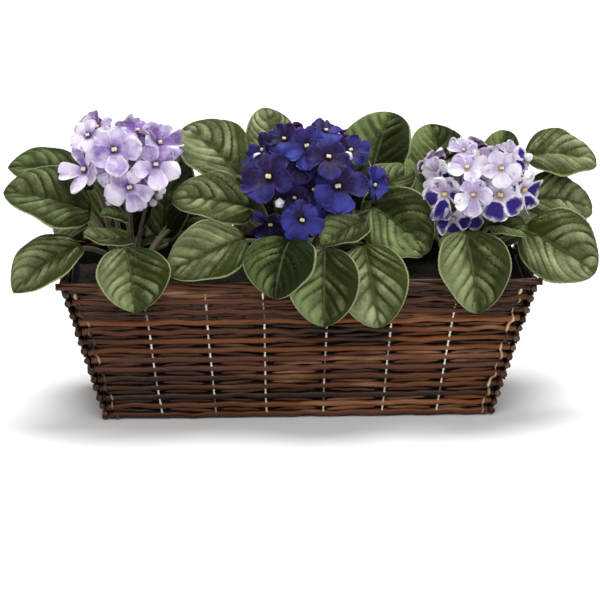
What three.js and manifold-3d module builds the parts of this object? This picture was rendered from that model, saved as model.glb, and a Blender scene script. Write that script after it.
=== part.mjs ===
// Three potted african violets in a low willow basket planter.
// Millimetres, +Z up. The origin is the middle of the basket's foot, on the surface it stands on.
// +X runs along the basket to the right, and the front of the planter faces -Y.

import * as THREE from "three";
import { mergeVertices } from "three/addons/utils/BufferGeometryUtils.js";
import Module from "manifold-3d";

const wasm = await Module();
wasm.setup();

// Basket: a flared box of horizontal willow rods
const TOP_LENGTH = 400;
const TOP_DEPTH = 150;
const FOOT_LENGTH = 330;
const FOOT_DEPTH = 108;
const HEIGHT = 125;
const WALL = 7;
const GAP = 0.3;
const WOVEN_ROWS = 14;
const LONG_STATIONS = 6;
const END_STATIONS = 3;
const LONG_PANEL_TOP = 119;
const END_PANEL_TOP = 117.6;
const GROOVE = 2.2;
const WANDER = 0.5;
const RIM_RADIUS = 3.7;
const RIM_HEIGHT = 122.5;
const RIM_OVERHANG = 2;
const END_RIM_RADIUS = 3.4;
const END_RIM_HEIGHT = 120.6;
const BASE_RODS = 15;
const BASE_THICKNESS = 4.6;
const BASE_GROOVE = 1.1;

// Liner tray and soil inside the basket
const LINER_WALL = 1.2;
const LINER_FLOOR = BASE_THICKNESS + GAP;
const LINER_TOP = 116;
const SOIL_TOP = 104;
const SOIL_LUMP = 1.6;

// Plants
const CROWN_RADIUS = 8;
const CROWN_ROOT = 82;
const CROWN_TOP = 118;
const HOLE_CLEARANCE = 0.5;
const CROWN_LEVEL = 115;
const BLADE = 1.0;
const PETIOLE_RADIUS = 2.1;
const PETIOLE_STEPS = 3;
const PETIOLE_SIDES = 3;
const PETIOLE_SEAT = 0.14;
const PETIOLE_SINK = 0.8;
const MARGIN_WAVE = 1.1;
const PEDUNCLE_RADIUS = 1.5;
const PEDICEL_RADIUS = 0.8;
const FORK_RADIUS = 2.6;
const CALYX_RADIUS = 3.2;
const CALYX_LENGTH = 4.5;
const LAYER_STEP = 9;
const FRONT_BIAS = 0.5;

const UP = new THREE.Vector3(0, 0, 1);

// A leaf row is: blade base, blade tip, width, roll, arch, fold.
// Base and tip are offsets from the plant's crown at CROWN_LEVEL. Roll is in degrees and tips the
// right edge down, as seen from base to tip. Arch lifts the middle of the midrib, and fold is the
// rise of the two halves from the midrib, as a share of the half width.
const PLANTS = [
  {
    name: "lavender",
    x: -138,
    petal: 0xc9b6e4,
    head: [-8, 6, 90],
    headRadius: 44,
    leaves: [
      [[-35, -20, 56], [-107, -30, 77], 62, -38, 4, 0.2],
      [[-32, 12, 72], [-105, 12, 88], 50, -30, 6, 0.15],
      [[-30, 56, 64], [-38, 84, 117], 36, 0, 4, 0.3],
      [[-42, -42, 34], [-99, -60, -1], 50, -30, 6, 0.3],
      [[0, -46, 40], [-40, -68, 50], 30, -20, -4, 0.3],
      [[-6, -70, 40], [1, -93, -9], 62, 0, 4, 0.3],
      [[-6, -30, 52], [-26, -44, 60], 22, -20, 2, 0.2],
      [[8, 56, 34], [16, 98, -2], 58, 0, 8, 0.15],
      [[-38, 46, 26], [-70, 56, 28], 34, -60, 5, 0.15],
      [[-12, 32, 18], [-14, 62, 94], 60, 0, 5, 0.15],
      [[28, 30, 20], [40, 56, 90], 56, -10, 5, 0.15],
      [[34, 26, 30], [66, 44, 34], 44, 30, 5, 0.15],
    ],
    // A bloom row is: stalk, azimuth, elevation, layer, radius
    blooms: [
      [0, -130, 8, 1, 21],
      [1, -97, 28, 2, 21],
      [2, -101, 10, 0, 16],
      [2, -83, -6, 1, 20],
      [3, -60, 14, 2, 19],
      [3, -41, 33, 1, 19],
      [0, -142, 42, 1, 16],
      [4, 170, 58, 0, 16],
      [1, -49, 60, 0, 16],
      [0, 160, 28, 0, 16],
      [4, 118, 20, 0, 17],
      [4, 54, 26, 0, 17],
    ],
  },
  {
    name: "violet",
    x: 5,
    petal: 0x2f2a9c,
    head: [4, 6, 76],
    headRadius: 52,
    leaves: [
      [[-50, 12, 72], [-101, 42, 113], 68, -22, 6, 0.2],
      [[-44, -16, 56], [-110, -30, 70], 54, -38, 5, 0.2],
      [[-49, -48, 40], [-114, -74, 18], 52, -48, 6, 0.2],
      [[-12, -56, 42], [-26, -90, 0], 64, 0, 6, 0.2],
      [[16, -70, 38], [14, -97, -22], 60, 4, 5, 0.3],
      [[49, -62, 38], [60, -88, -26], 60, 22, 5, 0.35],
      [[50, -38, 50], [14, -66, 38], 38, -20, 3, 0.2],
      [[60, -12, 57], [105, -50, 30], 62, 48, 6, 0.2],
      [[56, -38, 32], [98, -56, 26], 40, 26, 4, 0.2],
      [[-22, 64, 70], [-28, 94, 119], 46, 0, 4, 0.2],
      [[62, 58, 58], [83, 88, 115], 66, 6, 6, 0.2],
      [[58, 26, 48], [97, 40, 76], 44, 35, 5, 0.2],
      [[-22, 56, 34], [-36, 98, -2], 58, 0, 8, 0.15],
      [[28, 56, 34], [42, 98, 0], 58, 0, 8, 0.15],
      [[6, 34, 18], [8, 66, 94], 60, 0, 5, 0.15],
      [[-34, 40, 30], [-50, 66, 84], 56, 15, 5, 0.15],
      [[38, 34, 30], [56, 56, 82], 54, -10, 5, 0.15],
    ],
    blooms: [
      [0, -127, 15, 1, 23],
      [1, -65, 8, 1, 22],
      [2, -74, 31, 2, 18],
      [2, -92, 45, 1, 18],
      [1, -7, -3, 1, 18],
      [3, -104, -3, 0, 15],
      [3, -129, -28, 1, 18],
      [3, -96, -15, 2, 18],
      [0, -167, 38, 0, 17],
      [2, -103, 29, 0, 14],
      [2, -22, 69, 0, 16],
      [1, -17, 37, 0, 16],
      [3, -64, -17, 0, 15],
      [2, -140, 58, 0, 15],
      [4, 92, 38, 0, 18],
      [4, 42, 28, 0, 18],
      [4, 132, 22, 0, 16],
    ],
  },
  {
    name: "bicolour",
    x: 140,
    petal: 0xf2ecf6,
    head: [10, 6, 74],
    headRadius: 46,
    leaves: [
      [[-13, 52, 58], [-21, 78, 107], 58, 0, 5, 0.2],
      [[36, 56, 60], [46, 80, 100], 38, 0, 4, 0.2],
      [[56, 26, 89], [118, 30, 82], 56, 30, 6, 0.15],
      [[52, 2, 57], [112, 6, 47], 58, 34, 6, 0.15],
      [[50, -24, 40], [109, -45, 6], 66, 50, 6, 0.15],
      [[-3, -60, 48], [5, -94, -13], 62, 0, 5, 0.3],
      [[22, -40, 46], [50, -54, 42], 30, 20, 3, 0.2],
      [[-10, -45, 42], [-16, -61, 30], 22, 0, -4, 0.2],
      [[-6, 56, 34], [-12, 98, -2], 58, 0, 8, 0.15],
      [[44, 50, 36], [74, 86, 4], 54, -10, 8, 0.15],
      [[-40, 42, 38], [-62, 74, 18], 50, 0, 6, 0.15],
      [[0, 32, 18], [0, 62, 84], 60, 0, 5, 0.15],
      [[34, 34, 30], [50, 56, 84], 54, -10, 5, 0.15],
    ],
    blooms: [
      [0, -123, 1, 1, 18],
      [1, -95, 4, 2, 15],
      [1, -69, 0, 1, 20],
      [2, -39, 1, 1, 19],
      [2, -70, 24, 2, 16],
      [1, -77, 36, 0, 15],
      [0, -102, 27, 1, 16],
      [0, -143, 18, 0, 15],
      [0, -116, -24, 1, 14],
      [1, -90, -22, 0, 14],
      [2, -4, 21, 0, 14],
      [2, -24, 38, 0, 15],
      [0, -114, 52, 0, 13],
      [3, 90, 28, 0, 17],
      [3, 38, 20, 0, 16],
      [3, 142, 16, 0, 15],
    ],
  },
];

// Corolla: two smaller petals above and three larger below, each given by its start angle, its end
// angle, its reach as a share of the bloom's radius, and how far its tip comes forward for that reach
const PETALS = [
  [24, 90, 0.84, 0.1],
  [90, 156, 0.84, 0.1],
  [156, 230, 0.97, 0.22],
  [230, 310, 1, 0.34],
  [310, 384, 0.97, 0.22],
];
const PETAL_CORNERS = [-1, -0.64, 0, 0.64];
const NOTCH = 0.58;
const THROAT = 0.2;
const PETAL_THICKNESS = 0.8;
const COROLLA_DEPTH = 4.5;
const ANTHER_RISE = 2.6;
const RUFFLE = 1.0;

const willow = () => new THREE.MeshStandardMaterial({ color: 0x4a2c1c, roughness: 0.6, metalness: 0 });
const linerPlastic = () => new THREE.MeshStandardMaterial({ color: 0x111111, roughness: 0.5, metalness: 0 });
const pottingSoil = () => new THREE.MeshStandardMaterial({ color: 0x2a1d15, roughness: 0.95, metalness: 0 });
const leafGreen = () => new THREE.MeshStandardMaterial({ color: 0x48613a, roughness: 0.7, metalness: 0 });
const stalkGreen = () => new THREE.MeshStandardMaterial({ color: 0x6d5a40, roughness: 0.7, metalness: 0 });
const petalOf = (color) => new THREE.MeshStandardMaterial({ color, roughness: 0.6, metalness: 0 });

const radians = (degrees) => THREE.MathUtils.degToRad(degrees);
const vector = ([x, y, z]) => new THREE.Vector3(x, y, z);

const group = new THREE.Group();

function place(name, geometry, material) {
  const mesh = new THREE.Mesh(geometry, material);
  mesh.name = name;
  group.add(mesh);
  return mesh;
}

// Helpers that turn point lists and three.js geometries into closed solids and back

function closedGeometry(points, triangles) {
  const geometry = new THREE.BufferGeometry();
  geometry.setAttribute("position", new THREE.Float32BufferAttribute(points.flat(), 3));
  geometry.setIndex(triangles.flat());
  return geometry;
}

function weld(geometry) {
  const bare = geometry.clone();
  bare.deleteAttribute("normal");
  bare.deleteAttribute("uv");
  return mergeVertices(bare, 1e-4);
}

function solid(geometry) {
  const welded = weld(geometry);
  return new wasm.Manifold(new wasm.Mesh({
    numProp: 3,
    vertProperties: new Float32Array(welded.attributes.position.array),
    triVerts: new Uint32Array(welded.index.array),
  }));
}

function toGeometry(manifold) {
  const mesh = manifold.getMesh();
  const geometry = new THREE.BufferGeometry();
  geometry.setAttribute("position", new THREE.BufferAttribute(mesh.vertProperties, 3));
  geometry.setIndex(new THREE.BufferAttribute(mesh.triVerts, 1));
  return geometry;
}

function join(geometries) {
  return geometries.map(solid).reduce((whole, next) => whole.add(next));
}

// Basket

const halfLength = (z) => (FOOT_LENGTH + (TOP_LENGTH - FOOT_LENGTH) * z / HEIGHT) / 2;
const halfDepth = (z) => (FOOT_DEPTH + (TOP_DEPTH - FOOT_DEPTH) * z / HEIGHT) / 2;

// A woven wall, seen from outside: rows of rods with grooves between them, flat on the inside.
// Along it runs from -1 to 1, and toPoint turns (along, outward, z) into a place.
function wovenWall(top, stations, toPoint) {
  const pitch = top / WOVEN_ROWS;
  const section = (station) => {
    const profile = [];
    for (let row = 0; row < WOVEN_ROWS; row += 1) {
      const bulge = 0.35 * Math.sin(row * 2.3 + station * 1.7);
      const drift = row === 0 ? 0 : WANDER * Math.sin(row * 1.9 + station * 2.6);
      profile.push([-GROOVE, row * pitch + drift]);
      profile.push([bulge, (row + 0.3) * pitch + drift]);
      profile.push([bulge, (row + 0.72) * pitch + drift]);
    }
    profile.push([-GROOVE, top]);
    profile.push([-WALL, top]);
    profile.push([-WALL, 0]);
    return profile;
  };
  const count = 3 * WOVEN_ROWS + 3;
  const points = [];
  for (let station = 0; station < stations; station += 1) {
    const along = 2 * station / (stations - 1) - 1;
    for (const [outward, z] of section(station)) {
      points.push(toPoint(along, outward, z));
    }
  }
  const triangles = [];
  for (let station = 0; station < stations - 1; station += 1) {
    for (let k = 0; k < count; k += 1) {
      const next = (k + 1) % count;
      const a = station * count + k;
      const b = station * count + next;
      triangles.push([a, a + count, b + count], [a, b + count, b]);
    }
  }
  for (const [station, turn] of [[0, 1], [stations - 1, -1]]) {
    const outline = section(station).map(([outward, z]) => new THREE.Vector2(outward, z));
    for (const [a, b, c] of THREE.ShapeUtils.triangulateShape(outline, [])) {
      const first = station * count;
      triangles.push(turn > 0 ? [first + a, first + b, first + c] : [first + a, first + c, first + b]);
    }
  }
  return closedGeometry(points, triangles);
}

function rimRod(radius, length, axis) {
  const rod = new THREE.CylinderGeometry(radius, radius, length, 8);
  if (axis === "x") {
    rod.rotateZ(Math.PI / 2);
  }
  return rod;
}

// The long panels stop just inside the end panels, and their rim rod runs on over the corners
function longPanel() {
  const wall = wovenWall(LONG_PANEL_TOP, LONG_STATIONS, (along, outward, z) => [
    along * (halfLength(z) - WALL - GAP),
    -(halfDepth(z) + outward),
    z,
  ]);
  const rim = rimRod(RIM_RADIUS, TOP_LENGTH + 2 * RIM_OVERHANG, "x");
  rim.translate(0, -(halfDepth(RIM_HEIGHT) - RIM_RADIUS + 1), RIM_HEIGHT);
  return toGeometry(join([wall, rim]));
}

// The end panels run the full depth, under the long panels' rim rods
function endPanel() {
  const wall = wovenWall(END_PANEL_TOP, END_STATIONS, (along, outward, z) => [
    halfLength(z) + outward,
    along * halfDepth(z),
    z,
  ]);
  const rimReach = halfDepth(RIM_HEIGHT) - 2 * RIM_RADIUS + 1 - GAP;
  const rim = rimRod(END_RIM_RADIUS, 2 * rimReach, "y");
  rim.translate(halfLength(END_RIM_HEIGHT) - END_RIM_RADIUS + 0.6, 0, END_RIM_HEIGHT);
  return toGeometry(join([wall, rim]));
}

// The base is a mat of rods side by side, flat below and above, wedged in between the walls
function basePanel() {
  const reach = FOOT_DEPTH / 2 - WALL - GAP;
  const pitch = 2 * reach / BASE_RODS;
  const below = [];
  const above = [];
  for (let rod = 0; rod < BASE_RODS; rod += 1) {
    const centre = -reach + (rod + 0.5) * pitch;
    below.push([centre - 0.3 * pitch, 0], [centre + 0.3 * pitch, 0]);
    above.push([centre - 0.3 * pitch, BASE_THICKNESS], [centre + 0.3 * pitch, BASE_THICKNESS]);
    if (rod < BASE_RODS - 1) {
      below.push([centre + 0.5 * pitch, BASE_GROOVE]);
      above.push([centre + 0.5 * pitch, BASE_THICKNESS - BASE_GROOVE]);
    }
  }
  const middle = BASE_THICKNESS / 2;
  const outline = [...below, [reach, middle], ...above.reverse(), [-reach, middle]];
  const shape = new THREE.Shape(outline.map(([y, z]) => new THREE.Vector2(y, z)));
  const length = FOOT_LENGTH - 2 * WALL - 2 * GAP;
  const geometry = new THREE.ExtrudeGeometry(shape, { depth: length, bevelEnabled: false });
  geometry.translate(0, 0, -length / 2);
  geometry.rotateX(Math.PI / 2);
  geometry.rotateZ(Math.PI / 2);
  return weld(geometry);
}

// A block that follows the basket's taper, inset from its outer faces, cut into cells from above
function taperedBlock(low, high, inset, cellsX = 1, cellsY = 1) {
  const block = new THREE.BoxGeometry(2, 2, 1, cellsX, cellsY, 1);
  const position = block.attributes.position;
  for (let i = 0; i < position.count; i += 1) {
    const alongX = position.getX(i);
    const alongY = position.getY(i);
    const z = position.getZ(i) < 0 ? low : high(alongX, alongY);
    position.setXYZ(i, alongX * (halfLength(z) - inset), alongY * (halfDepth(z) - inset), z);
  }
  return block;
}

function linerTray() {
  const outer = taperedBlock(LINER_FLOOR, () => LINER_TOP, WALL + GAP);
  const inner = taperedBlock(LINER_FLOOR + LINER_WALL, () => LINER_TOP + 10, WALL + GAP + LINER_WALL);
  return toGeometry(solid(outer).subtract(solid(inner)));
}

const soilHeight = (x, y) => SOIL_TOP + SOIL_LUMP * Math.sin(9.1 * x + 2.3 * y) * Math.cos(3.7 * y - 4.3 * x);

function soilBlock() {
  const low = LINER_FLOOR + LINER_WALL + GAP;
  const block = taperedBlock(low, soilHeight, WALL + 2 * GAP + LINER_WALL, 10, 4);
  let soil = solid(block);
  for (const plant of PLANTS) {
    const radius = CROWN_RADIUS + HOLE_CLEARANCE;
    const hole = new THREE.CylinderGeometry(radius, radius, 60, 8);
    hole.rotateX(Math.PI / 2);
    hole.translate(plant.x, 0, CROWN_ROOT - GAP + 30);
    soil = soil.subtract(solid(hole));
  }
  return toGeometry(soil);
}

// Leaves

function leafFrame(base, tip, roll) {
  const along = tip.clone().sub(base).normalize();
  const level = UP.clone().addScaledVector(along, -UP.dot(along)).normalize();
  const across = new THREE.Vector3().crossVectors(along, level);
  const turn = radians(roll);
  const normal = level.clone().multiplyScalar(Math.cos(turn)).addScaledVector(across, Math.sin(turn));
  const side = across.clone().multiplyScalar(Math.cos(turn)).addScaledVector(level, -Math.sin(turn));
  return { along, normal, side };
}

// Half the width of an ovate blade, from its base at 0 to its tip at 1
const ovate = (u) => Math.max(0, Math.sin(Math.PI * u ** 0.85)) ** 0.52;

// A point of the blade's lower face, u along the midrib from base to tip and v across from -1 to 1
function bladePoint([baseRow, tipRow, width, roll, arch, fold], u, v) {
  const base = vector(baseRow);
  const tip = vector(tipRow);
  const { normal, side } = leafFrame(base, tip, roll);
  const half = width / 2 * ovate(u);
  const lift = arch * 4 * u * (1 - u) + fold * half * Math.abs(v);
  return base.lerp(tip, u).addScaledVector(side, v * half).addScaledVector(normal, lift);
}

// The blade: rows across the midrib between a base point and a tip point, the same on both faces,
// with a wave along the margin
function leafBlade(leaf) {
  const [base, tip, , roll] = leaf;
  const { normal } = leafFrame(vector(base), vector(tip), roll);
  const rows = [0.05, 0.24, 0.46, 0.68, 0.9];
  const columns = [-1, 0, 1];
  const points = [bladePoint(leaf, 0, 0)];
  rows.forEach((u, row) => {
    for (const v of columns) {
      const wave = Math.abs(v) === 1 ? MARGIN_WAVE * (row % 2 ? -1 : 1) : 0;
      points.push(bladePoint(leaf, u, v).addScaledVector(normal, wave));
    }
  });
  points.push(bladePoint(leaf, 1, 0));
  const last = points.length - 1;
  const wide = columns.length;
  const faces = [];
  for (let k = 0; k < wide - 1; k += 1) {
    faces.push([0, 1 + k, 2 + k]);
    faces.push([last, last - 1 - k, last - 2 - k]);
    for (let row = 0; row < rows.length - 1; row += 1) {
      const a = 1 + row * wide + k;
      faces.push([a, a + wide, a + 1], [a + 1, a + wide, a + wide + 1]);
    }
  }
  return thicken(points, faces, normal.clone().multiplyScalar(BLADE));
}

// A closed sheet: the given faces below, the same faces above, and a rim between them
function thicken(points, faces, rise) {
  const count = points.length;
  const raised = points.map((point) => point.clone().add(rise));
  const triangles = [];
  const edges = new Map();
  for (const [a, b, c] of faces) {
    triangles.push([a, b, c], [a + count, c + count, b + count]);
    for (const [from, to] of [[a, b], [b, c], [c, a]]) {
      edges.set(`${from} ${to}`, [from, to]);
    }
  }
  for (const [from, to] of edges.values()) {
    if (!edges.has(`${to} ${from}`)) {
      triangles.push([to, from, from + count], [to, from + count, to + count]);
    }
  }
  return closedGeometry([...points, ...raised].map((point) => point.toArray()), triangles);
}

function tube(curve, radius, sides, steps) {
  const section = new THREE.Shape();
  for (let k = 0; k < sides; k += 1) {
    const angle = 2 * Math.PI * (k + 0.5) / sides;
    const corner = [radius * Math.cos(angle), radius * Math.sin(angle)];
    if (k === 0) {
      section.moveTo(...corner);
    } else {
      section.lineTo(...corner);
    }
  }
  return new THREE.ExtrudeGeometry(section, { steps, extrudePath: curve, bevelEnabled: false });
}

// A leaf stalk arches out of the crown and ends just under the blade
function petiole(leaf) {
  const [base, tip, , roll] = leaf;
  const { along, normal } = leafFrame(vector(base), vector(tip), roll);
  const outward = new THREE.Vector3(base[0], base[1], 0).normalize();
  const start = outward.clone().multiplyScalar(5.5).setZ(-1);
  const end = bladePoint(leaf, PETIOLE_SEAT, 0).addScaledVector(normal, -PETIOLE_SINK);
  const reach = start.distanceTo(end);
  const leave = outward.clone().multiplyScalar(0.7).setZ(0.7);
  const arrive = along.clone().add(outward).normalize();
  const curve = new THREE.CubicBezierCurve3(
    start,
    start.clone().addScaledVector(leave, 0.4 * reach),
    end.clone().addScaledVector(arrive, -0.3 * reach),
    end,
  );
  return tube(curve, PETIOLE_RADIUS, PETIOLE_SIDES, PETIOLE_STEPS);
}

function crown() {
  const profile = [
    [0, CROWN_ROOT],
    [CROWN_RADIUS, CROWN_ROOT + 4],
    [CROWN_RADIUS, CROWN_TOP - 6],
    [CROWN_RADIUS - 3, CROWN_TOP],
    [0, CROWN_TOP],
  ];
  const geometry = new THREE.LatheGeometry(profile.map(([r, z]) => new THREE.Vector2(r, z)), 8);
  geometry.rotateX(Math.PI / 2);
  return geometry.translate(0, 0, -CROWN_LEVEL);
}

function rosette(plant) {
  const parts = plant.leaves.flatMap((leaf) => [petiole(leaf), leafBlade(leaf)]);
  const geometry = toGeometry(join([crown(), ...parts]));
  return geometry.translate(plant.x, 0, CROWN_LEVEL);
}

// Blooms

// Where a bloom's throat is and which way it faces, measured from the plant's crown
function bloomPose(plant, [, azimuth, elevation, layer, radius]) {
  const level = Math.cos(radians(elevation));
  const outward = new THREE.Vector3(
    level * Math.cos(radians(azimuth)),
    level * Math.sin(radians(azimuth)),
    Math.sin(radians(elevation)),
  );
  const distance = plant.headRadius + (layer - 0.5) * LAYER_STEP;
  const throat = vector(plant.head).addScaledVector(outward, distance);
  const facing = outward.clone();
  if (outward.y < 0.3) {
    facing.add(new THREE.Vector3(0, -FRONT_BIAS, 0)).normalize();
  }
  return { throat, facing, radius };
}

// The corolla in its own frame: it faces +Z, its top is +Y, and its throat is at the origin. The petals
// come forward into a cup that is deeper on some blooms than on others.
function corolla(radius, index) {
  const outline = [];
  const cup = 1 + 0.4 * Math.sin(1.7 * index);
  PETALS.forEach(([start, end, reach, lift], petal) => {
    PETAL_CORNERS.forEach((across, corner) => {
      const angle = radians(start + (end - start) * (across + 1) / 2);
      const distance = radius * (corner === 0 ? NOTCH : reach * (1 - 0.3 * Math.abs(across) ** 3));
      const ruffle = corner === 0 ? 0.4 : RUFFLE * Math.sin(3 * corner + petal + index);
      const height = cup * lift * distance + ruffle;
      outline.push([distance * Math.cos(angle), distance * Math.sin(angle), height, angle]);
    });
  });
  const count = outline.length;
  const throat = outline.filter((_, k) => k % 2 === 0).map(([, , , angle]) => [
    THROAT * radius * Math.cos(angle),
    THROAT * radius * Math.sin(angle),
    -1,
  ]);
  const front = outline.map(([x, y, z]) => [x, y, z]);
  const back = outline.map(([x, y, z]) => [x, y, z - PETAL_THICKNESS]);
  const points = [...throat, ...front, ...back, [0, 0, ANTHER_RISE], [0, 0, -COROLLA_DEPTH]];
  const ring = throat.length;
  const anther = ring + 2 * count;
  const heel = anther + 1;
  const triangles = [];
  for (let k = 0; k < ring; k += 1) {
    const next = (k + 1) % ring;
    const [left, middle, right] = [2 * k, 2 * k + 1, (2 * k + 2) % count].map((i) => ring + i);
    triangles.push([anther, k, next], [k, left, middle], [k, middle, next], [next, middle, right]);
  }
  for (let k = 0; k < count; k += 1) {
    const [a, b] = [ring + k, ring + (k + 1) % count];
    triangles.push([a, a + count, b + count], [a, b + count, b], [heel, b + count, a + count]);
  }
  return closedGeometry(points, triangles);
}

function addBloom(plant, row, index) {
  const { throat, facing, radius } = bloomPose(plant, row);
  const mesh = place(`${plant.name}_bloom_${String(index + 1).padStart(2, "0")}`, corolla(radius, index),
    petalOf(plant.petal));
  const side = new THREE.Vector3().crossVectors(UP, facing).normalize();
  const top = new THREE.Vector3().crossVectors(facing, side);
  mesh.quaternion.setFromRotationMatrix(new THREE.Matrix4().makeBasis(side, top, facing));
  mesh.rotateZ(radians(14) * Math.sin(2.4 * index));
  mesh.position.copy(throat).add(new THREE.Vector3(plant.x, 0, CROWN_LEVEL));
}

// Flower stalks: each rises from a small knot on the crown to a fork, and from the fork a thin stalk
// runs to the calyx behind each of its blooms
function flowerStalks(plant) {
  const knotTop = CROWN_TOP - CROWN_LEVEL + GAP;
  const knot = new THREE.CylinderGeometry(4, 5, 5, 8);
  knot.rotateX(Math.PI / 2);
  knot.translate(0, 0, knotTop + 2.5);
  const parts = [knot];
  const stalkCount = 1 + Math.max(...plant.blooms.map(([stalk]) => stalk));
  for (let stalk = 0; stalk < stalkCount; stalk += 1) {
    const poses = plant.blooms.filter((row) => row[0] === stalk).map((row) => bloomPose(plant, row));
    const middle = new THREE.Vector3();
    poses.forEach(({ throat }) => middle.addScaledVector(throat, 1 / poses.length));
    const centre = new THREE.Vector3(0, 0, knotTop);
    const fork = centre.clone().lerp(middle, 0.55);
    const outward = new THREE.Vector3(fork.x, fork.y, 0).normalize();
    const root = outward.clone().multiplyScalar(2.6).setZ(knotTop + 2);
    const lean = new THREE.Vector3(0.3 * fork.x, 0.3 * fork.y, 0.5 * fork.z);
    parts.push(new THREE.OctahedronGeometry(FORK_RADIUS).translate(fork.x, fork.y, fork.z));
    parts.push(tube(new THREE.QuadraticBezierCurve3(root, lean, fork), PEDUNCLE_RADIUS, 4, 2));
    for (const { throat, facing } of poses) {
      const heel = throat.clone().addScaledVector(facing, -COROLLA_DEPTH - GAP);
      const calyx = new THREE.ConeGeometry(CALYX_RADIUS, CALYX_LENGTH, 5);
      calyx.rotateX(-Math.PI / 2);
      calyx.translate(0, 0, -CALYX_LENGTH / 2);
      calyx.applyQuaternion(new THREE.Quaternion().setFromUnitVectors(UP, facing));
      calyx.translate(heel.x, heel.y, heel.z);
      parts.push(calyx);
      const neck = heel.clone().addScaledVector(facing, -CALYX_LENGTH + 2.5);
      const bend = neck.clone().addScaledVector(facing, -0.5 * neck.distanceTo(fork));
      parts.push(tube(new THREE.QuadraticBezierCurve3(fork, bend, neck), PEDICEL_RADIUS, 3, 2));
    }
  }
  return toGeometry(join(parts)).translate(plant.x, 0, CROWN_LEVEL);
}

// The whole planter

place("basket_front_panel", longPanel(), willow());
place("basket_back_panel", longPanel(), willow()).rotation.z = Math.PI;
place("basket_right_end", endPanel(), willow());
place("basket_left_end", endPanel(), willow()).rotation.z = Math.PI;
place("basket_base", basePanel(), willow());
place("liner_tray", linerTray(), linerPlastic());
place("potting_soil", soilBlock(), pottingSoil());
for (const plant of PLANTS) {
  place(`${plant.name}_rosette`, rosette(plant), leafGreen());
  place(`${plant.name}_stalks`, flowerStalks(plant), stalkGreen());
  plant.blooms.forEach((row, index) => addBloom(plant, row, index));
}

export default group;
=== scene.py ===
"""Three african violets in a willow basket planter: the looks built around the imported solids.
Shapes are built in millimetres, in the frame of the solids, and written to the scene in metres."""

from collections import namedtuple
from math import comb, cos, pi, radians, sin, tan
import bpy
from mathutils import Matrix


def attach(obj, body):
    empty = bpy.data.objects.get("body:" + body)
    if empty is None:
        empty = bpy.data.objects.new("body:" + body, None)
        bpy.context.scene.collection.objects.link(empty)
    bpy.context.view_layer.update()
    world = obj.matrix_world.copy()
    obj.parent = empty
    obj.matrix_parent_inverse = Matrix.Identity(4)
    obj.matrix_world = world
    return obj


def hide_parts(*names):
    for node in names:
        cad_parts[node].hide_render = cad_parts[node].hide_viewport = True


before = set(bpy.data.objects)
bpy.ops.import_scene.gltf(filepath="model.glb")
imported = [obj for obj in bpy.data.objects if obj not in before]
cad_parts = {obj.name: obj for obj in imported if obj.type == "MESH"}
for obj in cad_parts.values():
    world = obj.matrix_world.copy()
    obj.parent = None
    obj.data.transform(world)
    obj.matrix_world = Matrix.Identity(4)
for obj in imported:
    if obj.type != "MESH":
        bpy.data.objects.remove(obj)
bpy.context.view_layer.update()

from types import SimpleNamespace as Plant

import bpy
import numpy as np
from mathutils import Vector

scene = bpy.context.scene
MM = 0.001
UP = np.array([0.0, 0.0, 1.0])
WANDER_SINES = 4
rng = np.random.default_rng(7)

# Basket, the same driving sizes as the solids
TOP_LENGTH, TOP_DEPTH = 400, 150
FOOT_LENGTH, FOOT_DEPTH = 330, 108
HEIGHT = 125
WALL = 7
GAP = 0.3
WOVEN_ROWS = 14
LONG_PANEL_TOP = 119
END_PANEL_TOP = 117.6
RIM_RADIUS = 3.7
RIM_HEIGHT = 122.5
RIM_OVERHANG = 2
END_RIM_RADIUS = 3.4
END_RIM_HEIGHT = 120.6
BASE_RODS = 15
BASE_THICKNESS = 4.6

# Rods, and the wire that is threaded through them in columns, given as shares of the half length
ROD_RADIUS = 2.85
ROD_SIDES = 12
ROD_WANDER = 1.25
ROD_KNOTS = 3
KNOT_SWELL, KNOT_LENGTH = 0.09, 0.012
LONG_STEPS, END_STEPS, BASE_STEPS, RIM_STEPS = 100, 40, 20, 60
SPREAD_ROWS, TOP_SPREAD = 3, 0.32
RIM_TURNS = 2.75
FILLER_STEPS, FILLER_SIDES = 12, 6
FILLER_SETBACK = 1.7
FILLER_LIFT = 1.2
WIRE_STEPS, WIRE_SIDES = 6, 6
WIRE_RADIUS = 0.6
WIRE_DEPTH = 1.7
LONG_WIRES = [-0.70, -0.425, -0.165, 0.125, 0.425, 0.705]
END_WIRES = [-0.6, 0.0, 0.6]
BINDING = 0.965
BINDING_STEPS, BINDING_SIDES = 8, 7

# Soil
LINER_WALL = 1.2
SOIL_TOP = 104
SOIL_LUMP = 1.6
SOIL_FLOOR = 8
SOIL_INSET = WALL + 2 * GAP + LINER_WALL
SOIL_GRID = (150, 54)
SOIL_CRUMBS = 350
CRUMB_ROWS, CRUMB_SIDES = 3, 6

# Plants, measured from a crown on the soil
CROWN_LEVEL = 115
CROWN_TOP = 118
BLADE = 1.0
PETIOLE_SEAT = 0.14
PETIOLE_SINK = 0.8
PETIOLE_STEPS, MIDRIB_STEPS, PETIOLE_SIDES = 26, 9, 10
VEIN_PAIRS = 4.6
VEIN_SWEEP = 0.85
QUILT = 4.2
LEAF_FOLD = 0.26
MARGIN_TEETH = 20
LEAF_GRID = (60, 33)
SMALL_GRID = (36, 21)
SMALL_LEAF = 42
COROLLA_DEPTH = 4.5
LAYER_STEP = 9
FRONT_BIAS = 0.5
BLOOM_TILT = 0.30
BLOOM_TURN = 14
PETAL_GRID = (16, 15)
PETAL_TURN = 11
PETAL_TWIST = 26
PETAL_CLAW = 0.66
ANTHER_ROWS, ANTHER_SIDES = 7, 12
# Blooms deep in the head: their cup, a darker tone that is painted shade, and their blotch
DEEP_CUP, DEEP_SHADE_TONE, DEEP_BLOTCH = 1.2, 0.9, 0.8

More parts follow.
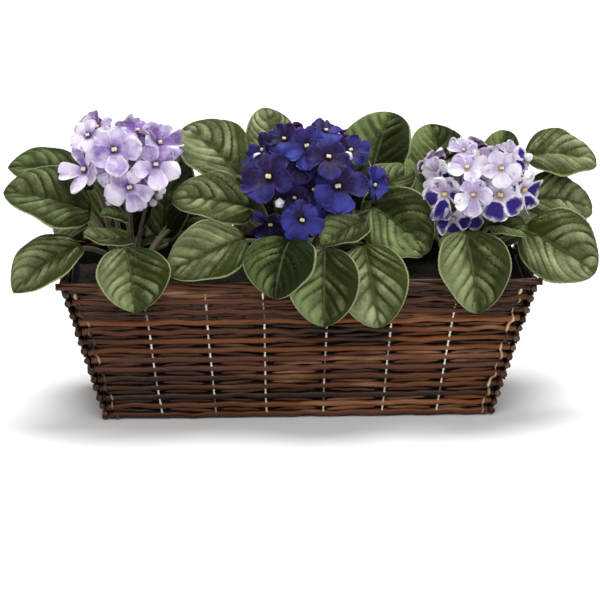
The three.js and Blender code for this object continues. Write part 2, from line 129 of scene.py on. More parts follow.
# Each plant has its full leaves, the small young ones in their gaps, its blooms, small blooms deep in
# the head, closed buds, and each bloom's depth of colour and blotch. Ruffle is that of the petal edges in
# millimetres, pleat a petal's fold along its length, and point how far it narrows to its end. A leaf is
# given as blade base, blade tip, width, roll, arch, fold and paleness.
Bloom = namedtuple("Bloom", "stalk azimuth elevation layer radius")
Bud = namedtuple("Bud", "azimuth elevation distance length stalk")
LAVENDER = Plant(name="lavender", x=-138, seed=6, head=(-8, 6, 90), head_radius=44, leaves=[
    ((-35, -20, 56), (-107, -30, 77), 62, -38, 4, 0.2, 0.25),
    ((-32, 12, 72), (-105, 12, 88), 50, -30, 6, 0.15, 0.1),
    ((-30, 56, 64), (-38, 84, 117), 36, 0, 4, 0.3, 0.2),
    ((-42, -42, 34), (-99, -60, -1), 50, -30, 6, 0.3, 0.5),
    ((0, -46, 40), (-40, -68, 50), 30, -20, -4, 0.3, 0.4),
    ((-6, -70, 40), (1, -93, -9), 62, 0, 4, 0.3, 0.45),
    ((-6, -30, 52), (-26, -44, 60), 22, -20, 2, 0.2, 0.2),
    ((8, 56, 34), (16, 98, -2), 58, 0, 8, 0.15, 0.2),
    ((-38, 46, 26), (-70, 56, 28), 34, -60, 5, 0.15, 0.2),
    ((-12, 32, 18), (-14, 62, 94), 60, 0, 5, 0.15, 0.05),
    ((28, 30, 20), (40, 56, 90), 56, -10, 5, 0.15, 0.05),
    ((34, 26, 30), (66, 44, 34), 44, 30, 5, 0.15, 0.1),
], young=[
    ((-20, 22, 22), (-38, 34, 40), 26, -20, 3, 0.2, 0.1),
    ((2, 42, 7), (12, 82, 4), 40, 0, 2, 0.2, 0.1),
    ((28, 40, 10), (46, 80, 8), 38, -10, 4, 0.2, 0.1),
], blooms=[
    (0, -130, 8, 1, 21), (1, -97, 28, 2, 21), (2, -101, 10, 0, 16), (2, -83, -6, 1, 20),
    (3, -60, 14, 2, 19), (3, -41, 33, 1, 19), (0, -142, 42, 1, 16), (4, 170, 58, 0, 16),
    (1, -49, 60, 0, 16), (0, 160, 28, 0, 16), (4, 118, 20, 0, 17), (4, 54, 26, 0, 17),
], deep=[
    (1, -75, 44, -1, 16), (2, -60, 0, -1, 15), (1, -88, 66, -1, 15), (0, -118, 34, -1, 16),
    (3, -30, 24, -2, 17),
], buds=[
    (-45, -14, 52, 9, 3), (-50, -30, 50, 8, 3), (-38, -26, 47, 8, 3), (-110, -34, 44, 7, 2),
], tones=[0.1, 0.5, 0.25, 0.0, 0.2, 0.7, 0.0, 0.3, 0.5, 0.6, 0.6, 0.6], blotches=[0],
    ruffle=1.8, pleat=0.95, point=0.50, bud_petals="lavender")
VIOLET = Plant(name="violet", x=5, seed=4, head=(4, 6, 76), head_radius=52, leaves=[
    ((-50, 12, 72), (-101, 42, 113), 68, -22, 6, 0.2, 0.8),
    ((-44, -16, 56), (-110, -30, 70), 54, -38, 5, 0.2, 0.5),
    ((-49, -48, 40), (-114, -74, 18), 52, -48, 6, 0.2, 0.4),
    ((-12, -56, 42), (-26, -90, 0), 64, 0, 6, 0.2, -0.35),
    ((16, -70, 38), (14, -97, -22), 60, 4, 5, 0.2, 0.25),
    ((49, -62, 38), (60, -88, -26), 60, 22, 5, 0.35, 0.7),
    ((50, -38, 50), (14, -66, 38), 38, -20, 3, 0.2, 0.4),
    ((60, -12, 57), (105, -50, 30), 62, 48, 6, 0.2, 0.15),
    ((56, -38, 32), (98, -56, 26), 40, 26, 4, 0.2, 0.2),
    ((-22, 64, 70), (-28, 94, 119), 46, 0, 4, 0.2, 1.0),
    ((62, 58, 58), (83, 88, 115), 66, 6, 6, 0.2, 0.05),
    ((58, 26, 48), (97, 40, 76), 44, 35, 5, 0.2, 0.3),
    ((-22, 56, 34), (-36, 98, -2), 58, 0, 8, 0.15, 0.2),
    ((28, 56, 34), (42, 98, 0), 58, 0, 8, 0.15, 0.2),
    ((6, 34, 18), (8, 66, 94), 60, 0, 5, 0.15, 0.05),
    ((-34, 40, 30), (-50, 66, 84), 56, 15, 5, 0.15, 0.05),
    ((38, 34, 30), (56, 56, 82), 54, -10, 5, 0.15, 0.05),
], young=[
    ((-52, 14, 40), (-80, 26, 68), 36, -15, 4, 0.2, 0.1),
    ((34, 8, 22), (66, 24, 50), 36, 20, 3, 0.2, 0.1),
    ((14, 42, 7), (22, 84, 4), 40, 0, 2, 0.2, 0.1),
], blooms=[
    (0, -127, 15, 1, 23), (1, -65, 8, 1, 22), (2, -74, 31, 2, 18), (2, -92, 45, 1, 18),
    (1, -7, -3, 1, 18), (3, -104, -3, 0, 15), (3, -129, -28, 1, 18), (3, -96, -15, 2, 18),
    (0, -167, 38, 0, 17), (2, -103, 29, 0, 14), (2, -22, 69, 0, 16), (1, -17, 37, 0, 16),
    (3, -64, -17, 0, 15), (2, -140, 58, 0, 15), (4, 92, 38, 0, 18), (4, 42, 28, 0, 18),
    (4, 132, 22, 0, 16),
], deep=[
    (1, -48, 24, -1, 16), (3, -84, 4, -1, 16), (0, -150, 8, -1, 16), (2, -60, 50, -1, 15),
], buds=[
    (-115, -4, 64, 10, 3), (-50, 32, 64, 10, 1), (-70, -22, 62, 9, 3), (-150, 30, 60, 9, 0),
], tones=[0.7, 0.4, 0.6, 0.15, -0.3, 0.8, 0.5, 0.2, 0.5, 0.6, 0.2, 0.5, 0.1, 0.6, 0.5, 0.5, 0.5],
    blotches=[0], ruffle=2.1, pleat=0.55, point=0.12, bud_petals="lavender")
BICOLOUR = Plant(name="bicolour", x=140, seed=3, head=(10, 6, 74), head_radius=46, leaves=[
    ((-13, 52, 58), (-21, 78, 107), 58, 0, 5, 0.2, 0.1),
    ((36, 56, 60), (46, 80, 100), 38, 0, 4, 0.2, 0.1),
    ((56, 26, 89), (118, 30, 82), 56, 30, 6, 0.15, 0.8),
    ((52, 2, 57), (112, 6, 47), 58, 34, 6, 0.15, 0.6),
    ((50, -24, 40), (109, -45, 6), 66, 50, 6, 0.15, 0.75),
    ((-3, -60, 48), (5, -94, -13), 62, 0, 5, 0.3, 0.4),
    ((22, -40, 46), (50, -54, 42), 30, 20, 3, 0.2, 0.1),
    ((-10, -45, 42), (-16, -61, 30), 22, 0, -4, 0.2, 0.3),
    ((-6, 56, 34), (-12, 98, -2), 58, 0, 8, 0.15, 0.2),
    ((44, 50, 36), (74, 86, 4), 54, -10, 8, 0.15, 0.2),
    ((-40, 42, 38), (-62, 74, 18), 50, 0, 6, 0.15, 0.2),
    ((0, 32, 18), (0, 62, 84), 60, 0, 5, 0.15, 0.05),
    ((34, 34, 30), (50, 56, 84), 54, -10, 5, 0.15, 0.05),
], young=[
    ((-22, 30, 34), (-42, 52, 88), 38, -10, 4, 0.2, 0.1),
    ((18, 10, 24), (36, 22, 52), 28, 15, 3, 0.2, 0.1),
    ((14, 40, 7), (24, 82, 4), 40, 0, 2, 0.2, 0.1),
    ((30, 30, 8), (50, 66, 13), 36, 10, 3, 0.2, 0.1),
], blooms=[
    (0, -123, 1, 1, 18), (1, -95, 4, 2, 15), (1, -69, 0, 1, 20), (2, -39, 1, 1, 19),
    (2, -70, 24, 2, 16), (1, -77, 36, 0, 15), (0, -102, 27, 1, 16), (0, -143, 18, 0, 15),
    (0, -116, -24, 1, 14), (1, -90, -22, 0, 14), (2, -4, 21, 0, 14), (2, -24, 38, 0, 15),
    (0, -114, 52, 0, 13), (3, 90, 28, 0, 17), (3, 38, 20, 0, 16), (3, 142, 16, 0, 15),
], deep=[
    (1, -88, 16, -1, 14), (2, -50, 12, -1, 14), (0, -125, 20, -1, 14),
], buds=[
    (-20, 28, 58, 9, 2), (-108, -34, 46, 8, 0), (-60, -30, 46, 8, 1),
], tones=[0.3, 0.5, 0.0, -0.2, 0.3, 0.3, 0.4, 0.2, 0.1, 0.2, -0.1, 0.3, 0.5, 0.4, 0.4, 0.4],
    blotches=[1.1, 0.0, 1.1, 1.0, 0.0, 0.9, 0.0, 0.0, 1.0, 1.1, 1.1, 0.7, 0.0, 0.7, 0.7, 0.7],
    ruffle=1.7, pleat=0.80, point=0.2, bud_petals="bicolour")
PLANTS = [LAVENDER, VIOLET, BICOLOUR]

# Petals: direction from the bloom's right, reach and half width as shares of its radius, how far the
# tip comes forward for that reach, and 1 for an upper petal
PETALS = [
    (57, 0.86, 0.48, 0.10, 1),
    (123, 0.86, 0.48, 0.10, 1),
    (195, 0.98, 0.56, 0.22, 0),
    (345, 0.98, 0.56, 0.22, 0),
    (270, 1.02, 0.61, 0.34, 0),
]

# Petal colours: a light bloom's face and a dark one's, the margin, the throat, how strong the margin is,
# and the blotch
PETAL_LOOKS = {
    "lavender": ((0.90, 0.78, 0.96), (0.22, 0.12, 0.42), (0.95, 0.92, 0.96), (0.13, 0.05, 0.26), 0.85),
    "violet": ((0.042, 0.048, 0.310), (0.012, 0.004, 0.038), (0.07, 0.07, 0.36), (0.012, 0.002, 0.014),
               0.45),
    "bicolour": ((0.96, 0.91, 0.97), (0.44, 0.34, 0.60), (0.96, 0.93, 0.96), (0.42, 0.30, 0.30), 0.9,
                 (0.022, 0.010, 0.140)),
}
PETAL_NAMES = ("reach", "across", "tone", "blotch")

# Camera, fitted to the photograph
CAMERA_AZIMUTH = -2.4
CAMERA_ELEVATION = 15.8
CAMERA_DISTANCE = 2.711
CAMERA_TARGET = (0, 0, 0.120)
CAMERA_LENS = 191.5
CAMERA_SHIFT = (0.0062, -0.0605)

# Studio: floor tone and reach, world light, and suns as name, azimuth, elevation, strength, softness
FLOOR_TONE, FAR = 0.92, 6.0
WORLD_STRENGTH = 0.23
SUNS = [
    ("top", 80, 77, 3.0, 34),
    ("front", -96, 44, 1.3, 45),
    ("side", -20, 40, 0.4, 40),
]


# Mesh building

def unit(v):
    v = np.asarray(v, float)
    return v / np.maximum(np.linalg.norm(v, axis=-1, keepdims=True), 1e-12)


def ring_angles(count):
    return np.linspace(0, 2 * np.pi, count, endpoint=False)


def grid_quads(rows, columns, around=False):
    """The quads of a grid of points, closed across its columns where it runs around."""
    last = columns if around else columns - 1
    r, c = np.meshgrid(np.arange(rows - 1), np.arange(last), indexing="ij")
    a = (r * columns + c).ravel()
    b = (r * columns + (c + 1) % columns).ravel()
    return np.stack([a, b, b + columns, a + columns], 1)


def two_sided(upper, lower=None):
    """A grid of a thin blade's upper face, run on over its lower face, which is the same if not given."""
    upper, lower = np.broadcast_arrays(upper, upper if lower is None else lower)
    return np.concatenate([upper, lower[:, -2:0:-1]], 1)


def place_object(name, data):
    placed = bpy.data.objects.new(name, data)
    scene.collection.objects.link(placed)
    return placed


class Build:
    """Gathers closed shells into one mesh, with named numbers on its points. The shells are given from
    an origin."""

    def __init__(self, *names, origin=(0, 0, 0)):
        self.origin = origin
        self.points, self.faces, self.slots = [], [], []
        self.values = {name: [] for name in names}
        self.count = 0

    def add(self, points, quads, tris, slot=0, **values):
        """Adds one closed shell and turns its faces outward."""
        halves = np.concatenate([tris, quads[:, :3], quads[:, [0, 2, 3]]])
        corners = points[halves] - points.mean(0)
        volume = np.einsum("ij,ij->i", corners[:, 0], np.cross(corners[:, 1], corners[:, 2])).sum()
        if volume < 0:
            quads, tris = quads[:, ::-1], tris[:, ::-1]
        self.points.append(points)
        for faces in (quads, tris):
            self.faces += (faces + self.count).tolist()
            self.slots += [slot] * len(faces)
        for name, gathered in self.values.items():
            value = np.asarray(values.get(name, 0.0), float).reshape(-1)
            gathered.append(np.broadcast_to(value, (len(points),)))
        self.count += len(points)

    def loft(self, grid, slot=0, start=None, end=None, turned=None, **values):
        """A closed shell through loops of points, ending in a point at both ends. A value is one
        number, or one for each point of the grid. Turned columns have their quads split the other way."""
        grid = np.asarray(grid, float)
        rows, columns = grid.shape[:2]
        start = grid[0].mean(0) if start is None else start
        end = grid[-1].mean(0) if end is None else end
        points = np.vstack([grid.reshape(-1, 3), start, end]) + self.origin
        k = np.arange(columns)
        after = (k + 1) % columns
        top = (rows - 1) * columns
        low = np.stack([np.full(columns, rows * columns), after, k], 1)
        high = np.stack([np.full(columns, rows * columns + 1), top + k, top + after], 1)
        for name, value in values.items():
            value = np.asarray(value, float)
            if value.size > 1:
                value = np.broadcast_to(value, (rows, columns))
                values[name] = np.concatenate([value.ravel(), [value[0].mean(), value[-1].mean()]])
        quads = grid_quads(rows, columns, around=True)
        if turned is not None:
            picked = np.tile(turned, rows - 1)
            quads[picked] = np.roll(quads[picked], 1, axis=1)
        self.add(points, quads, np.vstack([low, high]), slot, **values)

    def tube(self, path, radius, sides, **values):
        self.loft(tube_grid(path, radius, sides), **values)

    def finish(self, name, materials, slot, *nodes):
        """Makes the piece, which rides on the root body and replaces the nodes given."""
        mesh = bpy.data.meshes.new(name)
        mesh.from_pydata(np.vstack(self.points) * MM, [], self.faces, shade_flat=False)
        mesh.polygons.foreach_set("material_index", self.slots)
        for material in materials:
            mesh.materials.append(material)
        for key, gathered in self.values.items():
            layer = mesh.attributes.new(key, "FLOAT", "POINT")
            layer.data.foreach_set("value", np.concatenate(gathered).astype(np.float32))
        mesh.validate()
        piece = place_object(name, mesh)
        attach(piece, "root")
        if nodes:
            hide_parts(*nodes)


def tube_grid(path, radius, sides):
    """Rings of points round a path. The radius is one number, or one for each point."""
    path = np.asarray(path, float)
    along = unit(np.gradient(path, axis=0))
    first = np.array([1.0, 0.0, 0.0]) if abs(along[0, 2]) > 0.95 else UP
    normal = np.zeros_like(path)
    normal[0] = unit(first - (first @ along[0]) * along[0])
    for i in range(1, len(path)):
        normal[i] = unit(normal[i - 1] - (normal[i - 1] @ along[i]) * along[i])
    side = np.cross(along, normal)
    angle = ring_angles(sides)[:, None]
    radius = np.broadcast_to(np.asarray(radius, float), (len(path),))[:, None, None]
    return path[:, None] + radius * (normal[:, None] * np.cos(angle) + side[:, None] * np.sin(angle))


def ball_grid(rows, sides, radii):
    """Rings of points on a ball, without its poles."""
    polar = np.linspace(0, np.pi, rows + 2)[1:-1, None]
    around = ring_angles(sides)
    x, y, z = np.sin(polar) * np.cos(around), np.sin(polar) * np.sin(around), np.cos(polar) * np.ones(sides)
    return np.stack([x, y, z], 2) * radii


def bezier(points, count):
    t = np.linspace(0, 1, count)[:, None]
    degree = len(points) - 1
    return sum(comb(degree, k) * t ** k * (1 - t) ** (degree - k) * np.asarray(p, float)
               for k, p in enumerate(points))


def wander(x, low=1.0, high=4.0):
    """A smooth random wave between about -1 and 1 along x."""
    total = np.zeros_like(x)
    for _ in range(WANDER_SINES):
        total += np.sin(x * rng.uniform(low, high) + rng.uniform(0, 2 * np.pi))
    return total / WANDER_SINES * 1.4


def direction(azimuth, elevation):
    a, e = radians(azimuth), radians(elevation)
    return np.array([cos(e) * cos(a), cos(e) * sin(a), sin(e)])


# Materials

class Value:
    """A number or colour in a material's node tree. Sums and products of values add math nodes."""

    def __init__(self, nodes, socket):
        self.nodes, self.socket = nodes, socket

    def __add__(self, other):
        return self.nodes.math("ADD", self, other)

    def __sub__(self, other):
        return self.nodes.math("SUBTRACT", self, other)

    def __rsub__(self, other):
        return self.nodes.math("SUBTRACT", other, self)

    def __mul__(self, other):
        return self.nodes.math("MULTIPLY", self, other)

    def __abs__(self):
        return self.nodes.math("ABSOLUTE", self)

    def clamp(self):
        """Holds the result of the last sum or product between 0 and 1."""
        self.socket.node.use_clamp = True
        return self

    def smooth(self, low, high):
        """0 where the value is at low and 1 where it is at high, also where low is the larger."""
        inputs = {"Value": self, "From Min": min(low, high), "From Max": max(low, high)}
        if low > high:
            inputs.update({"To Min": 1, "To Max": 0})
        return self.nodes.node("MapRange", "Result", inputs, interpolation_type="SMOOTHSTEP")


class Nodes:
    """A short way to write a material's node tree."""

    def __init__(self, name):
        self.material = bpy.data.materials.new(name)
        self.material.use_nodes = True
        self.tree = self.material.node_tree
        self.shader = self.tree.nodes["Principled BSDF"]

    def put(self, socket, value):
        if isinstance(value, Value):
            self.tree.links.new(value.socket, socket)
        elif isinstance(value, tuple) and socket.type == "RGBA":
            socket.default_value = (*value, 1)
        else:
            socket.default_value = value

    def node(self, kind, output, inputs, **settings):
        """Adds a node with the inputs given by name or number, and returns one of its outputs."""
        node = self.tree.nodes.new("ShaderNode" + kind)
        for key, value in settings.items():
            setattr(node, key, value)
        for key, value in inputs.items():
            self.put(node.inputs[key], value)
        return Value(self, node.outputs[output])

    def __getitem__(self, name):
        """The number of that name on the points of the mesh."""
        return self.node("Attribute", "Fac", {}, attribute_name=name)

    def math(self, operation, a, b=0.0):
        return self.node("Math", "Value", {0: a, 1: b}, operation=operation)

    def mix(self, share, a, b):
        return self.node("Mix", 2, {"Factor": share, 6: a, 7: b}, data_type="RGBA")

    def noise(self, scale, detail=3.0, roughness=0.55, stretch=(1, 1, 1)):
        place = self.node("TexCoord", "Object", {})
        place = self.node("Mapping", "Vector", {"Vector": place, "Scale": stretch})
        inputs = {"Vector": place, "Scale": scale, "Detail": detail, "Roughness": roughness}
        return self.node("TexNoise", "Fac", inputs)

    def bump(self, height, strength, distance):
        inputs = {"Height": height, "Strength": strength, "Distance": distance}
        self.set(Normal=self.node("Bump", "Normal", inputs))

    def set(self, **values):
        for key, value in values.items():
            self.put(self.shader.inputs[key.replace("_", " ")], value)
        return self.material


def willow_material(name, stretch):
    """Bark with streaks that run along the rods, the pale ones partly a painted highlight, and pale pith on
    the cut ends, darkened by stain and painted shade.
    """
    n = Nodes(name)
    warm = n["warm"]
    streak = n.noise(55, 5, 0.62, stretch)
    blotch = n.noise(14, 3, 0.5, stretch)
    dark = n.mix(warm, (0.010, 0.003, 0.003), (0.020, 0.005, 0.002))
    light = n.mix(warm, (0.080, 0.028, 0.018), (0.260, 0.078, 0.019))
    bark = n.mix((n["tone"] + (blotch - 0.5) * 2.2).clamp(), dark, light)
    # Pale streaks along the rods: partly the bark's own, partly a painted highlight
    bark = n.mix(streak.smooth(0.56, 0.72) * 0.7, bark, (0.400, 0.210, 0.110))
    bark = n.mix(streak.smooth(0.50, 0.34), bark, (0.010, 0.003, 0.002))
    # The pith goes from pale to dark with its stain and painted shade
    pith = n.mix(n["stain"], (0.34, 0.20, 0.10), (0.014, 0.009, 0.006))
    pith = n.mix(n.noise(400, 2).smooth(0.45, 0.65), pith, (0.06, 0.035, 0.018))
    n.bump(streak + n.noise(380, 3) * 0.4, 0.7, 0.0016)
    n.set(Base_Color=n.mix(n["cut"], bark, pith), Roughness=streak * 0.30 + 0.22)
    return n.set(Specular_IOR_Level=0.36, Specular_Tint=(1.0, 0.72, 0.56))


def wire_material():
    """Bright wire, or split cane where cane is 1, each darkened by its stain, the cane at the left also by
    painted shade.
    """
    n = Nodes("threaded_wire")
    stain = n["stain"]
    wire = n.mix(stain, (0.80, 0.74, 0.66), (0.10, 0.06, 0.04))
    cane = n.mix(stain, (0.62, 0.42, 0.24), (0.060, 0.032, 0.020))
    return n.set(Base_Color=n.mix(n["cane"], wire, cane), Roughness=stain * 0.3 + 0.35)


def grained_material(name, scale, detail, strength, distance, low, high, roughness):
    """A plain material whose fine grain mixes two colours and stands out a little."""
    n = Nodes(name)
    grain = n.noise(scale, detail)
    n.bump(grain, strength, distance)
    return n.set(Base_Color=n.mix(grain, low, high), Roughness=roughness)


def soil_material():
    n = Nodes("potting_soil")
    crumbs = n.noise(420, 6, 0.7)
    n.bump(crumbs, 0.9, 0.002)
    color = n.mix(crumbs.smooth(0.35, 0.7), (0.006, 0.004, 0.003), (0.045, 0.027, 0.015))
    return n.set(Base_Color=color, Roughness=0.95)


def leaf_material():
    """Velvet with painted light: painted shade in the valleys along the veins and a painted highlight,
    greyer and paler, on the pillows between them, painted light on the half that faces the lamps, painted
    shade towards the base, and a light margin."""
    n = Nodes("velvet_leaf")
    across = abs(n["across"])
    pale = n["pale"]
    mottle = n.noise(60, 4)
    grain = n.noise(520, 3, 0.6)
    # Painted shade in the valleys along the veins, and a greyer painted highlight on the pillows between
    # them
    valley_shade = n.mix(pale, (0.010, 0.018, 0.001), (0.050, 0.068, 0.012))
    ridge_highlight = n.mix(pale, (0.152, 0.203, 0.060), (0.450, 0.505, 0.270))
    wave = abs(n.math("SINE", n["vein"] * pi))
    clear = n.noise(28, 2).smooth(0.38, 0.60) * 0.55 + 0.35
    crest = 1 - clear * (1 - wave.smooth(0.02, 0.80))
    share = n["relief"] * (mottle * 1.35 - 0.15) * crest
    # Fine grain, and lighter towards the tip: painted shade darkens the blade near its base
    share = share + (grain - 0.5) * 0.5 + (n["along"] - 0.5) * 0.35
    # Painted light: the half of the blade turned towards the lamps at the right is lighter, the other darker
    nap = n["nap"] * across.smooth(0.0, 0.12) * (0.55 - pale * 0.45)
    share = (share + n.math("MINIMUM", pale, 0.0) + nap).smooth(-0.05, 1.0)
    green = n.mix(share, valley_shade, ridge_highlight)
    midrib = across.smooth(0.045, 0.015)
    green = n.mix(midrib * 0.4, green, (0.16, 0.20, 0.08))
    margin = across.smooth(0.94, 0.98)
    green = n.mix(margin * 0.8, green, (0.36, 0.40, 0.19))
    below = n.mix(mottle, (0.19, 0.25, 0.10), (0.25, 0.20, 0.13))
    n.bump(grain * 2.0 + n.noise(2600, 2, 0.6) * 0.5, 0.6, 0.0013)
    n.set(Base_Color=n.mix(n["under"], green, below), Roughness=0.5, Specular_IOR_Level=0.10)
    return n.set(Sheen_Weight=0.02, Sheen_Roughness=0.5, Sheen_Tint=(0.95, 1.0, 0.80))


def stalk_material():
    n = Nodes("hairy_stalk")
    color = n.mix(n["red"], (0.105, 0.140, 0.040), (0.085, 0.026, 0.018))
    color = n.mix(n.noise(120, 3) * 0.5, color, (0.26, 0.18, 0.11))
    n.bump(n.noise(2400, 2), 0.5, 0.0008)
    return n.set(Base_Color=color, Roughness=0.6, Sheen_Weight=0.4, Sheen_Roughness=0.4)


def petal_material(name, face, deep, edge, throat, rim_share, blotch=None):
    """Face is a light bloom's colour and deep a dark one's, edge the margin's and the fine streaks',
    and throat the centre's. A blotch lies over the middle of each petal."""
    n = Nodes(name)
    reach = n["reach"]
    across = abs(n["across"])
    cloud = n.noise(120, 4)
    streak = n.noise(650, 3)
    patch = (n.noise(75, 3) - 0.5) * 2.2
    # Deeper colour towards the throat: partly the petal's own, partly painted shade where the petals overlap
    throat_shade = reach.smooth(0.75, 0.20) * 0.45
    color = n.mix((n["tone"] + (patch + throat_shade)).clamp(), face, deep)
    color = n.mix(streak.smooth(0.42, 0.75) * 0.25, color, edge)
    if blotch:
        rise = (reach - 0.68) * 2.3
        spread = rise * rise + across * across + (cloud - 0.5) * 1.3 + (streak - 0.5) * 0.7
        inside = (spread - n["blotch"]).smooth(0.16, -0.12)
        worn = tuple(2.2 * c for c in blotch)
        color = n.mix(inside, color, n.mix(streak.smooth(0.4, 0.7), blotch, worn))
    rim = n.math("MAXIMUM", across.smooth(0.55, 1.0), reach.smooth(0.78, 1.0))
    rim = (rim * (cloud.smooth(0.30, 0.70) * rim_share)).clamp()
    color = n.mix(rim, color, edge)
    color = n.mix(reach.smooth(0.30, 0.10), color, throat)
    n.bump(streak + n.noise(3000, 2), 0.3, 0.0007)
    n.set(Base_Color=color, Roughness=0.55, Specular_IOR_Level=0.2, Sheen_Weight=0.06)
    return n.set(Sheen_Roughness=0.3, Subsurface_Weight=0.1, Subsurface_Scale=0.004)


# Basket

def half_length(z):
    return (FOOT_LENGTH + (TOP_LENGTH - FOOT_LENGTH) * z / HEIGHT) / 2


def half_depth(z):
    return (FOOT_DEPTH + (TOP_DEPTH - FOOT_DEPTH) * z / HEIGHT) / 2


def add_rod(build, path, radius, look):
    """One willow rod: a tapered, slightly lumpy stick with small knots, and its cut ends. The look is its
    warmth and lightness, and the stain and painted shade of its two cut ends."""
    count = len(path)
    along = np.linspace(-1, 1, count)
    swell = 1 + 0.05 * wander(along * 5) + 0.08 * along * rng.choice([-1, 1])
    for knot in rng.uniform(-1, 1, ROD_KNOTS):
        swell += KNOT_SWELL * np.exp(-((along - knot) / KNOT_LENGTH) ** 2)
    grid = tube_grid(path, np.minimum(radius * swell, radius * 1.1), ROD_SIDES)
    lumps = 1 + 0.02 * rng.standard_normal((count, ROD_SIDES))
    grid = path[:, None] + (grid - path[:, None]) * lumps[:, :, None]
    warm, tone, end_stain_and_shade = look
    ends = ((0, 1), (-1, -2))
    for end, inner in ends:
        slope = (grid[end] - path[end]) @ rng.uniform(-0.2, 0.2, 3)
        grid[end] += unit(path[end] - path[inner]) * (slope - slope.max())[:, None]
    build.loft(grid, tone=tone, warm=warm)
    for (end, inner), stain in zip(ends, end_stain_and_shade):
        out = unit(path[end] - path[inner])
        ring = path[end] + (grid[end] - path[end]) * 0.97
        build.loft([ring - out * 0.1, ring + out * 0.15], tone=tone, warm=warm, cut=1.0, stain=stain)


def rod_look(end_stain_and_shade):
    """A rod's warmth, from purplish black to red brown, its lightness, and the stain and painted shade of
    its two cut ends, varied at random.
    """
    warm, tone = np.clip(rng.normal((0.55, 0.28), (0.35, 0.34)), 0, 1)
    return warm, tone, [np.clip(s + rng.uniform(-0.25, 0.25), 0, 1) for s in end_stain_and_shade]


def row_level(row):
    """The height of a row, counted in rows. The top ones are spread out to reach the rim."""
    return row + 0.5 + TOP_SPREAD * max(0, row - WOVEN_ROWS + SPREAD_ROWS + 1) / SPREAD_ROWS


def woven_panel(name, node, material, top, wires, end_stain_and_shade, to_points, steps, rim):
    """Rods in rows, held apart where wire runs through them, and free to touch in between. to_points
    turns share, outward and z into places, where share runs from -1 to 1 along the panel."""
    rods = Build("tone", "warm", "cut", "stain")
    pitch = top / WOVEN_ROWS
    share = np.linspace(-1, 1, steps)
    held = np.min(np.abs(share[:, None] - np.array(wires)), 1)
    loose = np.clip(held / 0.12, 0, 1) ** 0.7
    for row in range(WOVEN_ROWS):
        rise = ROD_WANDER * wander(share * 9) * loose + 0.25 * wander(share * 3)
        radius = ROD_RADIUS * rng.uniform(0.86, 1.06)
        outward = -radius + 0.5 * (wander(share * 8) - 1) * loose
        if row == 0:
            rise = np.maximum(rise, radius * 1.18 - pitch / 2)
        path = to_points(share, outward, row_level(row) * pitch + rise)
        add_rod(rods, path, radius, rod_look(end_stain_and_shade))
    bays = [-1.0, *wires, 1.0]
    middles = [-1.0, *[(left + right) / 2 for left, right in zip(bays, bays[1:])], 1.0]
    rim_path, rim_radius = rim
    under_rim = rim_path[:, 2].mean() - 0.6 * rim_radius
    for gap in range(1, WOVEN_ROWS + 1):
        spans, lifts = [*zip(bays, bays[1:])], [0]
        if gap >= WOVEN_ROWS - SPREAD_ROWS:
            spans += zip(middles, middles[1:])
            lifts = [-FILLER_LIFT, FILLER_LIFT]
        middle = min(row_level(gap - 0.5) * pitch, under_rim)
        for left, right in spans:
            for lift in lifts:
                add_filler(rods, to_points, middle + lift, left, right)
    add_rim(rods, rim_path, rim_radius, end_stain_and_shade)
    rods.finish(name + "_rods", [material], "willow", node)
    add_wires(name, pitch, wires, to_points)


def add_rim(rods, path, radius, end_stain_and_shade):
    """Three thin rods laid round each other along the top edge."""
    turn = np.linspace(0, 2 * RIM_TURNS * np.pi, len(path)) + rng.uniform(0, 2 * np.pi)
    along = unit(path[-1] - path[0])
    side = np.cross(along, UP)
    for phase in ring_angles(3):
        out = np.cos(turn + phase)[:, None] * UP + np.sin(turn + phase)[:, None] * side
        warm, tone, cuts = rod_look(end_stain_and_shade)
        add_rod(rods, path + 0.52 * radius * out, 0.46 * radius, (warm, rng.uniform(0, 0.6) * tone, cuts))


def add_filler(rods, to_points, level, left, right):
    """A thin rod worked into the gap between two rows, from one column of wire to the next."""
    t = np.linspace(0.02, 0.98, FILLER_STEPS)
    share = left + rng.uniform(0.01, 0.04) + (right - left - rng.uniform(0.03, 0.09)) * t
    radius = rng.uniform(1.5, 2.3) * np.sin(np.pi * t) ** 0.6 + 0.15
    height = level + rng.uniform(-1.1, 1.1) * (2 * t - 1) + 0.4 * wander(4 * t)
    setback = FILLER_SETBACK * rng.uniform(0.3, 1.4)
    path = to_points(share, -setback - radius, height)
    warm, tone, _ = rod_look((0, 0))
    # The filler is coloured less than half as light as a rod: painted shade in the gap between rows
    rods.tube(path, radius, FILLER_SIDES, tone=0.45 * tone, warm=warm)


def add_wires(name, pitch, wires, to_points):
    """Two strands twisted round each other, threaded through the rods just behind their faces, and
    bright or stained in each gap by chance."""
    build = Build("stain", "cane")
    level = np.linspace(0.35, WOVEN_ROWS - 0.05, WIRE_STEPS * (WOVEN_ROWS - 1))
    lean = 1 + 0.03 * (1 - 2 * level / WOVEN_ROWS)
    for wire in wires:
        dulled = np.clip(rng.normal(0.40, 0.50, WOVEN_ROWS + 1), 0, 1)
        stain = dulled[np.clip(np.round(level), 0, WOVEN_ROWS).astype(int)]
        drift = 0.0025 * wander(level, 0.3, 1.0)
        for phase in (0, pi):
            turn = 2 * pi * level + phase
            share = wire * lean + drift + 0.0022 * np.sin(turn)
            path = to_points(share, 0.3 * np.cos(turn) - WIRE_DEPTH, level * pitch)
            build.tube(path, WIRE_RADIUS, WIRE_SIDES, stain=stain[:, None])
    if wires is LONG_WIRES:
        for side in (-1, 1):
            add_binding(build, side, pitch, to_points)
    build.finish(name + "_wire", [WIRE], "willow")


